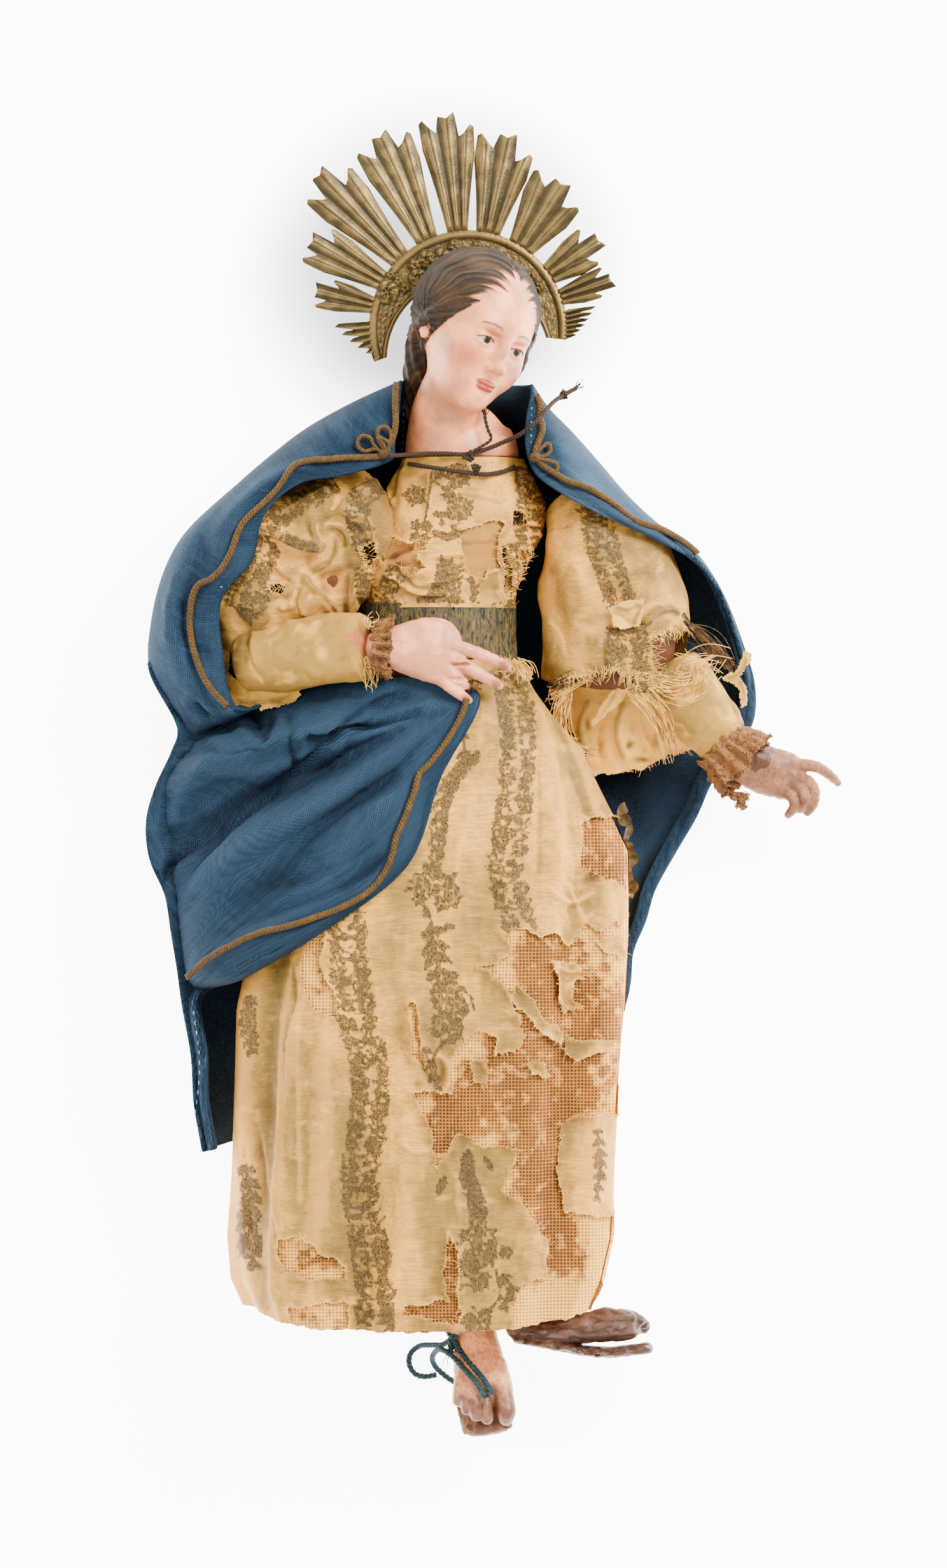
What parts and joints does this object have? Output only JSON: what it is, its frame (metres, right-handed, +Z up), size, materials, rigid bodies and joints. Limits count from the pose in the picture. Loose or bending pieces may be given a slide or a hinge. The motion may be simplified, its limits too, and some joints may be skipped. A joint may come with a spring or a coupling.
{
  "type": "presepe figure",
  "caption": "Lying dressed crib figure with painted head and hands, sheet metal halo, braided blue mantle, torn brocade gown and woven belt.",
  "frame": {"origin": "on the surface the figure lies on, under the waist, on the flat underside of the mantle", "axes": "+Y to the crown of the head, +Z up out of the figure's front, +X to the figure's left side"},
  "size_m": [0.2243, 0.425, 0.0698],
  "materials": {
    "mantle_cloth": "worn woven linen, lighter on its ridges",
    "braid": "tarnished gold thread braid",
    "gilt_metal": "aged gilt embossed sheet",
    "painted_skin": "satin oil paint with blush",
    "painted_wood": "satin oil paint, worn through in places",
    "brocade": "torn silk with woven brown ornament over coarse canvas",
    "plain_silk": "soft worn silk",
    "belt_weave": "black and gold woven strip",
    "lace": "tarnished metal thread lace",
    "brown_cord": "twisted waxed cord",
    "green_cord": "blue-green twisted silk cord"
  },
  "bodies": {
    "root": {"mantle": "mantle_cloth", "mantle_braid_left": "braid", "mantle_braid_front": "braid", "mantle_braid_right": "braid", "halo": "gilt_metal", "head_bust": "painted_skin", "bodice": "brocade", "belt": "belt_weave", "skirt": "brocade", "right_leg": "painted_wood", "left_leg": "painted_wood", "right_upper_sleeve": "brocade", "right_forearm_sleeve": "plain_silk", "right_cuff": "lace", "right_hand": "painted_wood", "left_upper_sleeve": "brocade", "left_sleeve_lining": "plain_silk", "left_forearm_sleeve": "plain_silk", "left_cuff": "lace", "left_hand": "painted_wood", "neck_cord": "brown_cord", "neck_cord_loop": "brown_cord", "sandal_cord": "green_cord", "sandal_cord_end": "green_cord", "side_ribbon": "braid"}
  },
  "joints": []
}
